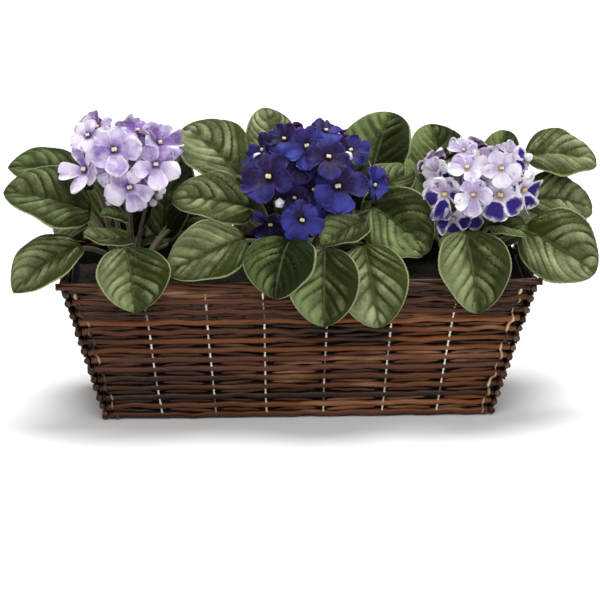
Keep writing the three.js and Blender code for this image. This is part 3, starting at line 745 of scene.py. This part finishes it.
def add_binding(build, side, pitch, to_points):
    """Split cane looped round each row of a long panel near its corner, pale at the right and darker at the
    left by painted shade.
    """
    level = np.linspace(0.2, WOVEN_ROWS - 0.3, BINDING_STEPS * WOVEN_ROWS)
    front = np.cos(2 * np.pi * (level - 0.5))
    sway = 0.008 * np.sin(np.pi * level) + 0.007 * wander(level, 0.5, 1.5)
    thick = 0.95 + 0.45 * wander(level, 1.0, 3.0)
    # Painted shade darkens the cane at the left, and its stain varies along it at random
    stain = np.clip(0.65 - 0.35 * side + 0.7 * wander(level, 1.0, 3.0), 0, 1)
    path = to_points(side * BINDING + sway, 2.6 * front - 1.9, level * pitch)
    build.tube(path, thick, BINDING_SIDES, stain=stain[:, None], cane=1.0)


def long_points(sign):
    """Places on the front panel, or on the back panel where the sign is -1."""
    def points(share, outward, z):
        x = share * (half_length(z) - WALL + 0.5)
        return np.stack([sign * x, -sign * (half_depth(z) + outward), z], 1)
    return points


def end_points(sign):
    """Places on the right end panel, or on the left one where the sign is -1."""
    def points(share, outward, z):
        y = share * (half_depth(z) - 0.3)
        return np.stack([sign * (half_length(z) + outward), sign * y, z], 1)
    return points


def build_basket():
    t = np.linspace(-1, 1, RIM_STEPS)
    for name, sign in (("front", 1), ("back", -1)):
        y = -sign * (half_depth(RIM_HEIGHT) - RIM_RADIUS + 1)
        x = t * (TOP_LENGTH / 2 + RIM_OVERHANG - 0.2)
        rim = np.stack([x, y + 0.3 * wander(t * 5), RIM_HEIGHT + 0.3 * wander(t * 5)], 1)
        # Cut ends get stain and painted shade: the front panel's left ends darker, its right ends paler
        # where the light falls
        woven_panel(f"basket_{name}", f"basket_{name}_panel", WILLOW_ALONG, LONG_PANEL_TOP, LONG_WIRES,
                    (0.6, 0.3), long_points(sign), LONG_STEPS, (rim, 0.96 * RIM_RADIUS))
    # Each end panel's cut ends get their own stain and painted shade, darkest at the left end's front
    for name, sign, end_stain_and_shade in (("right", 1, (0.8, 0.5)), ("left", -1, (0.5, 1.15))):
        x = sign * (half_length(END_RIM_HEIGHT) - END_RIM_RADIUS + 0.6)
        y = sign * t * (half_depth(RIM_HEIGHT) - 2 * RIM_RADIUS + 1 - GAP)
        rim = np.stack([x + 0.3 * wander(t * 4), y, END_RIM_HEIGHT + 0.3 * wander(t * 4)], 1)
        woven_panel(f"basket_{name}", f"basket_{name}_end", WILLOW_ACROSS, END_PANEL_TOP, END_WIRES,
                    end_stain_and_shade, end_points(sign), END_STEPS, (rim, 0.96 * END_RIM_RADIUS))
    build_base()


def build_base():
    base = Build("tone", "warm", "cut", "stain")
    x = np.linspace(-1, 1, BASE_STEPS) * (FOOT_LENGTH / 2 - WALL - GAP)
    for rod in range(BASE_RODS):
        y = (FOOT_DEPTH / 2 - WALL - GAP) * ((2 * rod + 1) / BASE_RODS - 1)
        path = np.stack([x, np.full_like(x, y), np.full_like(x, BASE_THICKNESS / 2)], 1)
        add_rod(base, path, 0.9 * BASE_THICKNESS / 2, rod_look((0.5, 0.5)))
    base.finish("basket_base_rods", [WILLOW_ALONG], "willow", "basket_base")


# Soil

def build_soil():
    """A lumpy block of potting mix with loose crumbs on it."""
    across, deep = SOIL_GRID
    u, v = np.meshgrid(np.linspace(-1, 1, across), np.linspace(-1, 1, deep), indexing="ij")
    rough = rng.standard_normal(SOIL_GRID)
    for _ in range(2):
        rough = (rough + np.roll(rough, 1, 0) + np.roll(rough, -1, 0)
                 + np.roll(rough, 1, 1) + np.roll(rough, -1, 1)) / 3.2

    def layer(z):
        return np.stack([u * (half_length(z) - SOIL_INSET), v * (half_depth(z) - SOIL_INSET), z], 2)

    lumps = SOIL_LUMP * np.sin(9.1 * u + 2.3 * v) * np.cos(3.7 * v - 4.3 * u)
    top = layer(SOIL_TOP + lumps + 0.9 * rough)
    index = np.arange(across * deep).reshape(across, deep)
    border = np.concatenate([index[:, 0], index[-1, 1:], index[-2::-1, -1], index[0, -2:0:-1]])
    low = np.arange(len(border)) + across * deep
    floor = layer(np.full_like(u, SOIL_FLOOR)).reshape(-1, 3)[border]
    walls = np.stack([border, low, np.roll(low, -1), np.roll(border, -1)], 1)
    under = np.stack([np.full(len(border), across * deep + len(border)), np.roll(low, -1), low], 1)
    build = Build()
    points = np.vstack([top.reshape(-1, 3), floor, [[0, 0, SOIL_FLOOR]]])
    build.add(points, np.vstack([grid_quads(across, deep)[:, ::-1], walls]), under)
    for _ in range(SOIL_CRUMBS):
        centre = top[rng.integers(2, across - 2), rng.integers(2, deep - 2)]
        size = rng.uniform(0.6, 2.4)
        rough = size * rng.uniform(0.7, 1.15, (CRUMB_ROWS, CRUMB_SIDES))
        ball = ball_grid(CRUMB_ROWS, CRUMB_SIDES, (1, 1, 0.75)) * rough[..., None]
        pole = 0.7 * size * UP
        build.loft(ball + centre, start=centre + pole, end=centre - pole)
    build.finish("soil", [SOIL], "soil", "potting_soil")


# Leaves

class Leaf:
    """A blade's measures, and its frame: the ways along it, out of its upper face and to its side."""

    def __init__(self, base, tip, width, roll, arch, fold, pale):
        self.base, self.tip = np.array(base, float), np.array(tip, float)
        self.width, self.arch, self.fold, self.pale = width, arch, fold, pale
        self.along = unit(self.tip - self.base)
        level = unit(UP - self.along[2] * self.along)
        across = np.cross(self.along, level)
        turn = radians(roll)
        self.normal = level * cos(turn) + across * sin(turn)
        self.side = across * cos(turn) - level * sin(turn)

    def midrib(self, u):
        """The blade's middle line, arched from base to tip as u runs from 0 to 1."""
        return self.base + (self.tip - self.base) * u + self.normal * (self.arch * 4 * u * (1 - u))


def leaf_veins(u, v, turns):
    """Counts the side veins that sweep forward to the margin: a whole number lies on a vein."""
    out = np.abs(v)
    right = 1.0 * (v > 0)
    sweep = VEIN_SWEEP * (0.6 * out + 0.4 * out ** 2.5) * (1 - 0.55 * u)
    bend = 0.26 * np.sin(4 * out + turns[0] + right) + 0.14 * np.sin(9 * u + turns[1] - right)
    return (u - sweep) * (VEIN_PAIRS + 1) + 0.5 * right + bend


def leaf_relief(u, v, vein, turns):
    """How high the blade stands between its veins, 0 at the midrib and the margin."""
    out = np.abs(v)
    height = 0.8 + 0.3 * np.sin(2.1 * vein + turns[1]) + 0.15 * np.sin(8 * out + turns[2])
    dimple = 0.12 * np.sin(2.2 * np.pi * vein + 11 * out) * np.sin(15 * out + turns[2])
    fade = np.clip(1.15 * (1 - out ** 3.5), 0, 1) * np.clip(out / 0.12, 0, 1) ** 0.6
    fade = fade * np.clip((1 - u) / 0.12, 0, 1) * np.clip(u / 0.06, 0, 1)
    return fade * height * (1 + dimple)


def add_blade(build, leaf):
    """A quilted blade with a sunk midrib and a softly waved, crenate margin. u runs from its base to
    its tip and v from margin to margin."""
    turns = rng.uniform(0, 2 * np.pi, 5)
    rows, columns = SMALL_GRID if leaf.width <= SMALL_LEAF else LEAF_GRID
    t = np.linspace(0.02, 0.995, rows)[:, None]
    u = 0.62 * t + 0.38 * (0.5 - 0.5 * np.cos(np.pi * t))
    v = np.sin(np.linspace(-1, 1, columns) * 0.49 * np.pi)[None] / sin(0.49 * np.pi)
    out = np.abs(v)
    half = leaf.width / 2 * np.maximum(0, np.sin(np.pi * u ** 0.85)) ** 0.52
    teeth = 1 + 0.018 * np.abs(np.sin(np.pi * MARGIN_TEETH * u)) * out ** 6
    vein = leaf_veins(u, v, turns)
    relief = leaf_relief(u, v, vein, turns)
    crest = np.sin(np.pi * vein) ** 2
    pillow = relief * 1.3 * crest / (crest + 0.3)
    size = leaf.width / 60
    wave = 2.2 * np.sin(7 * u + turns[3] + 2 * (v > 0)) + 1.1 * np.sin(15 * u + turns[4] + 2 * v)
    lift = (leaf.fold + LEAF_FOLD) * half * np.sqrt(out ** 2 + 0.004) - 0.24 * half * out ** 4
    lift = lift + size * wave * out ** 3 - 1.3 * np.exp(-(v / 0.07) ** 2) + QUILT * size * pillow
    middle = leaf.midrib(u[..., None]) + leaf.normal * lift[..., None]
    middle = middle + leaf.side * (v * half * teeth)[..., None]
    thick = BLADE / 2 * (0.22 + 0.78 * np.sqrt(1 - out ** 6))
    rise = leaf.normal * thick[..., None]
    seat = leaf.normal * BLADE / 2
    build.loft(
        two_sided(middle + seat + rise, middle + seat - rise),
        start=leaf.base + seat,
        end=leaf.tip + seat,
        # the quads of one half are split the other way, so that both halves bend alike
        turned=np.arange(2 * columns - 2) % (1.5 * columns) < columns // 2,
        across=two_sided(v),
        relief=two_sided(relief),
        vein=two_sided(vein),
        # painted light for the half turned to the right, none underneath
        nap=two_sided(-np.sign(v) * out ** 0.4 * leaf.side[0], 0),
        under=two_sided(0 * v, 1),
        along=u,
        pale=np.clip(leaf.pale + rng.uniform(-0.06, 0.06), -0.4, 1),
    )


def add_petiole(build, leaf):
    """The leaf stalk, which runs on under the blade as its raised midrib."""
    outward = unit([leaf.base[0], leaf.base[1], 0.0])
    start = outward * 5.5 + (0, 0, -1)
    end = leaf.midrib(PETIOLE_SEAT) - leaf.normal * PETIOLE_SINK
    reach = np.linalg.norm(end - start)
    leave = outward * 0.7 + (0, 0, 0.7)
    arrive = unit(leaf.along + outward)
    bends = [start, start + leave * 0.4 * reach, end - arrive * 0.3 * reach, end]
    t = np.linspace(0.1, 1, MIDRIB_STEPS)[:, None]
    under = leaf.midrib(PETIOLE_SEAT + 0.45 * t) - leaf.normal * (PETIOLE_SINK * (1 - t) + 0.9)
    radius = np.concatenate([np.linspace(2.7, 1.9, PETIOLE_STEPS), np.linspace(1.7, 0.5, MIDRIB_STEPS)])
    red = np.concatenate([np.linspace(0.9, 0.3, PETIOLE_STEPS), np.full(MIDRIB_STEPS, 0.15)])
    path = np.vstack([bezier(bends, PETIOLE_STEPS), under])
    build.tube(path, radius * (leaf.width / 60) ** 0.4, PETIOLE_SIDES, slot=1, red=red[:, None])


def build_rosette(plant):
    names = "along across relief vein nap under pale red".split()
    build = Build(*names, origin=plant.origin)
    crown = np.array([(-33, 4), (-28, 8), (-10, 8), (-3, 8), (1, 6.5), (3, 4)], float)
    build.tube(crown[:, :1] * UP, crown[:, 1], 20, slot=1, red=0.6)
    for row in plant.leaves + plant.young:
        leaf = Leaf(*row)
        add_blade(build, leaf)
        add_petiole(build, leaf)
    build.finish(plant.name + "_leaves", [LEAF, STALK], "leaf", plant.name + "_rosette")


# Blooms

def bloom_pose(plant, bloom):
    """The place of a bloom's throat and the way it faces, out of the head or turned to the front."""
    outward = direction(bloom.azimuth, bloom.elevation)
    throat = plant.head + outward * (plant.head_radius + (bloom.layer - 0.5) * LAYER_STEP)
    if outward[1] < 0.3:
        return throat, unit(outward + (0, -FRONT_BIAS, 0))
    return throat, outward


class Flower:
    """An open bloom with its cup, depth of colour and blotch. In its own frame it faces +Z and its top
    is +Y."""

    def __init__(self, plant, bloom, index, cup, tone, blotch):
        self.plant, self.radius = plant, bloom.radius
        self.cup, self.tone, self.blotch = cup, tone, blotch
        self.throat, facing = bloom_pose(plant, bloom)
        facing = unit(facing + rng.uniform(-BLOOM_TILT, BLOOM_TILT, 3))
        side = unit(np.cross(UP, facing))
        top = np.cross(facing, side)
        turn = radians(BLOOM_TURN) * sin(2.4 * index)
        self.axes = [side * cos(turn) + top * sin(turn), top * cos(turn) - side * sin(turn), facing]

    def place(self, points):
        """Points of the bloom's own frame in the plant's."""
        return points @ self.axes + self.throat

    def add_corolla(self, build):
        """Five petals round the short tube that the stalk's cup holds."""
        for petal in PETALS:
            self.add_petal(build, *petal)
        heel = np.array([(0, 0, -COROLLA_DEPTH), (0, 0, -3), (0, 0, -1.4)])
        tube = tube_grid(heel, (1.3, 1.7, 2.6), 12)
        build.loft(self.place(tube), reach=0.1, tone=self.tone, blotch=-1)

    def add_petal(self, build, turn, reach, spread, lift, upper):
        """One petal: a narrow claw that widens to a round, ruffled end, bowed along and across. b runs
        from its claw to its end and a from edge to edge."""
        angle = radians(turn + rng.uniform(-PETAL_TURN, PETAL_TURN))
        reach = self.radius * reach * rng.uniform(0.98, 1.16)
        spread = self.radius * spread * rng.uniform(0.95, 1.20)
        phase = rng.uniform(0, 2 * np.pi, 4)
        rows, columns = PETAL_GRID
        b = np.linspace(0.03, 0.99, rows)[:, None]
        a = np.sin(np.linspace(-1, 1, columns) * np.pi / 2)[None]
        claw = np.minimum(1, b / PETAL_CLAW) ** 0.7
        tip = np.sqrt(1 - np.maximum(0, (b - PETAL_CLAW) / (1 - PETAL_CLAW)) ** 2.6)
        width = spread * claw * tip * (1 - self.plant.point * b ** 4)
        notch = 1 - 0.05 * np.exp(-(a / 0.25) ** 2) * b ** 6 + 0.035 * np.sin(7 * a + phase[0]) * b ** 4
        length = reach * b * notch
        pleat = self.plant.pleat * rng.uniform(-0.6, 1.4)
        bow = reach * (rng.uniform(0.02, 0.12) * np.sin(np.pi * b) - rng.uniform(-0.05, 0.22) * b ** 3)
        twist = tan(radians(rng.uniform(-PETAL_TWIST, PETAL_TWIST)))
        frill = np.sin(5 * a + phase[1]) * (0.25 + 0.75 * np.abs(a))
        frill = frill + 0.6 * np.sin(11 * a + 5 * b + phase[2])
        z = self.cup * lift * length + bow + pleat * width * a ** 2 * b + twist * width * a * b
        z = z + self.plant.ruffle * b ** 2 * frill
        z = z + (0.8 * upper - 0.5) * (1 - b) - 1.6 * (1 - b) ** 3
        z = z - 0.5 * np.exp(-(a / 0.10) ** 2) * np.sin(np.pi * b)
        thick = 0.34 * (1 - 0.6 * np.abs(a) ** 4) * (1 - 0.4 * b)
        out = width * (1 - 0.28 * abs(pleat)) * a
        x = length * cos(angle) - out * sin(angle)
        y = length * sin(angle) + out * cos(angle)
        build.loft(
            self.place(two_sided(np.stack([x, y, z + thick], 2), np.stack([x, y, z - thick], 2))),
            reach=b,
            across=two_sided(a),
            tone=np.clip(self.tone + 0.30 * upper + rng.uniform(-0.4, 0.4), 0, 1),
            blotch=self.blotch * (0.2 if upper else 1) * rng.uniform(0.7, 1.15) - 0.15,
        )

    def add_anthers(self, build):
        """Two anther lobes side by side, standing out of the throat."""
        size = self.radius / 19
        ball = ball_grid(ANTHER_ROWS, ANTHER_SIDES, (1.25, 1.7, 1.2)) * size
        pole = 1.25 * size * UP
        for side in (-1, 1):
            centre = np.array([0.95 * side, 0.3, 2.0]) * size
            start, end = self.place(centre + pole), self.place(centre - pole)
            build.loft(self.place(ball + centre), start=start, end=end)


def build_blooms(plant, material):
    slot = "petal_" + plant.name
    anthers = Build(origin=plant.origin)
    for index, bloom in enumerate(plant.blooms):
        blotch = plant.blotches[index % len(plant.blotches)]
        flower = Flower(plant, bloom, index, 1 + 0.5 * sin(1.7 * index), plant.tones[index], blotch)
        build = Build(*PETAL_NAMES, origin=plant.origin)
        flower.add_corolla(build)
        number = f"{index + 1:02d}"
        build.finish(f"{plant.name}_corolla_{number}", [material], slot, f"{plant.name}_bloom_{number}")
        flower.add_anthers(anthers)
    deep = Build(*PETAL_NAMES, origin=plant.origin)
    for index, bloom in enumerate(plant.deep):
        flower = Flower(plant, bloom, index, DEEP_CUP, DEEP_SHADE_TONE, DEEP_BLOTCH)
        flower.add_corolla(deep)
        flower.add_anthers(anthers)
    deep.finish(plant.name + "_deep_blooms", [material], slot)
    anthers.finish(plant.name + "_anthers", [ANTHER], slot)


# Flower stalks

def add_calyx(build, heel, facing, turn):
    """A small cup with five pointed sepals that reach along the bloom's back."""
    side = unit(np.cross(UP, facing))
    top = np.cross(facing, side)
    path = heel - facing * np.array([4.2, 3.0, 1.5, 0.4])[:, None]
    build.tube(path, (0.9, 1.6, 1.9, 1.8), 10, red=0.45)
    t = np.linspace(0, 1, 7)[:, None]
    around = ring_angles(8)
    width = 1.15 * np.sin(np.pi * (0.18 + 0.8 * t)) + 0.08
    for angle in ring_angles(5) + turn:
        out = side * cos(angle) + top * sin(angle)
        spine = heel - facing * (2.6 - 2.2 * t) + out * (1.4 + 3.2 * t)
        ring = np.cross(facing, out) * (width * np.cos(around))[..., None]
        ring = ring + unit(facing - out) * 0.28 * np.sin(around)[:, None]
        build.loft(spine[:, None] + ring, red=0.35)


def add_bud(stalks, petals, plant, bud, fork):
    """A closed bud: a folded, pointed roll of petals held in its sepals on a thin stalk."""
    outward = direction(bud.azimuth, bud.elevation)
    facing = unit(outward + (0, 0, 0.25))
    heel = plant.head + outward * bud.distance - facing * bud.length
    bend = heel - facing * 0.4 * np.linalg.norm(heel - fork)
    stalks.tube(bezier([fork, bend, heel + facing * 0.5], 12), 0.75, 7, red=0.6)
    add_calyx(stalks, heel + facing * 3.4, facing, bud.azimuth)
    t = np.linspace(0.03, 0.97, 12)[:, None]
    path = heel + facing * bud.length * t
    grid = tube_grid(path, 0.40 * bud.length * np.sin(np.pi * t[:, 0]) ** 0.7, 20)
    folds = 1 + 0.12 * np.cos(5 * ring_angles(20))[:, None]
    grid = path[:, None] + (grid - path[:, None]) * folds
    petals.loft(grid, reach=0.4 + 0.6 * t, across=0.8, tone=0.15, blotch=-1)


def build_stalks(plant, bud_material):
    build = Build("red", origin=plant.origin)
    petals = Build(*PETAL_NAMES, origin=plant.origin)
    foot = CROWN_TOP - CROWN_LEVEL + GAP
    knot = UP * np.array([foot, foot + 2, foot + 4.5])[:, None]
    build.tube(knot, (5.0, 4.8, 3.4), 14, red=0.7)
    for stalk in sorted({bloom.stalk for bloom in plant.blooms}):
        poses = [bloom_pose(plant, bloom) for bloom in plant.blooms if bloom.stalk == stalk]
        middle = sum(throat for throat, _ in poses) / len(poses)
        poses += [bloom_pose(plant, bloom) for bloom in plant.deep if bloom.stalk == stalk]
        fork = 0.45 * foot * UP + 0.55 * middle
        root = unit([fork[0], fork[1], 0.0]) * 2.6 + (0, 0, foot + 2)
        path = bezier([root, fork * (0.3, 0.3, 0.5), fork], 18)
        build.tube(path, np.linspace(1.8, 1.25, 18), 9, red=0.75)
        knuckle = fork + UP * np.array([-1.5, 0, 1.5])[:, None]
        build.tube(knuckle, (1.0, 1.9, 1.0), 9, red=0.6)
        for throat, facing in poses:
            heel = throat - facing * (COROLLA_DEPTH + GAP)
            neck = heel - facing * 3.6
            bend = neck - facing * 0.5 * np.linalg.norm(neck - fork)
            path = bezier([fork, bend, neck], 14)
            build.tube(path, np.linspace(0.95, 0.8, 14), 7, red=0.55)
            add_calyx(build, heel, facing, throat[0])
        for bud in plant.buds:
            if bud.stalk == stalk:
                add_bud(build, petals, plant, bud, fork)
    build.finish(plant.name + "_flower_stalks", [STALK], "stalk", plant.name + "_stalks")
    petals.finish(plant.name + "_buds", [bud_material], "petal_" + plant.name)


# Camera and studio

def add_camera():
    data = bpy.data.cameras.new("camera")
    data.lens = CAMERA_LENS
    data.sensor_width = 36
    data.shift_x, data.shift_y = CAMERA_SHIFT
    data.clip_end = 20
    camera = place_object("camera", data)
    camera.location = CAMERA_TARGET + CAMERA_DISTANCE * direction(CAMERA_AZIMUTH - 90, CAMERA_ELEVATION)
    camera.rotation_euler = (radians(90 - CAMERA_ELEVATION), 0, radians(CAMERA_AZIMUTH))
    scene.camera = camera


def add_studio():
    paper = Nodes("studio_floor").set(Base_Color=(FLOOR_TONE,) * 3, Roughness=0.9, Specular_IOR_Level=0.1)
    mesh = bpy.data.meshes.new("studio_floor")
    mesh.from_pydata([(-FAR, -FAR, 0), (FAR, -FAR, 0), (FAR, FAR, 0), (-FAR, FAR, 0)], [], [(0, 1, 2, 3)])
    mesh.materials.append(paper)
    place_object("studio_floor", mesh)
    world = bpy.data.worlds.new("studio")
    world.use_nodes = True
    background = world.node_tree.nodes["Background"]
    background.inputs["Color"].default_value = (1, 1, 1, 1)
    background.inputs["Strength"].default_value = WORLD_STRENGTH
    scene.world = world
    scene.view_settings.view_transform = "Standard"
    for name, azimuth, elevation, strength, softness in SUNS:
        data = bpy.data.lights.new(name, "SUN")
        data.energy = strength
        data.angle = radians(softness)
        lamp = place_object(name, data)
        lamp.location = direction(azimuth, elevation)
        lamp.rotation_euler = Vector(-direction(azimuth, elevation)).to_track_quat("-Z", "Y").to_euler()


WILLOW_ALONG = willow_material("willow_along", (0.12, 1, 1))
WILLOW_ACROSS = willow_material("willow_across", (1, 0.12, 1))
WIRE = wire_material()
LINER = grained_material("black_liner", 240, 3, 0.2, 0.0006, (0.006, 0.006, 0.006),
                         (0.018, 0.017, 0.016), 0.55)
SOIL = soil_material()
LEAF = leaf_material()
STALK = stalk_material()
ANTHER = grained_material("yellow_anther", 1800, 2, 0.4, 0.0005, (0.74, 0.60, 0.22), (0.92, 0.88, 0.60), 0.6)
PETAL = {name: petal_material(name + "_petal", *look) for name, look in PETAL_LOOKS.items()}

add_camera()
build_basket()
build_soil()
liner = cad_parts["liner_tray"].data
liner.materials.clear()
liner.materials.append(LINER)
for plant in PLANTS:
    rng = np.random.default_rng(plant.seed)
    plant.origin = np.array([plant.x, 0.0, CROWN_LEVEL])
    plant.blooms = [Bloom(*row) for row in plant.blooms]
    plant.deep = [Bloom(*row) for row in plant.deep]
    plant.buds = [Bud(*row) for row in plant.buds]
    build_rosette(plant)
    build_blooms(plant, PETAL[plant.name])
    build_stalks(plant, PETAL[plant.bud_petals])
add_studio()
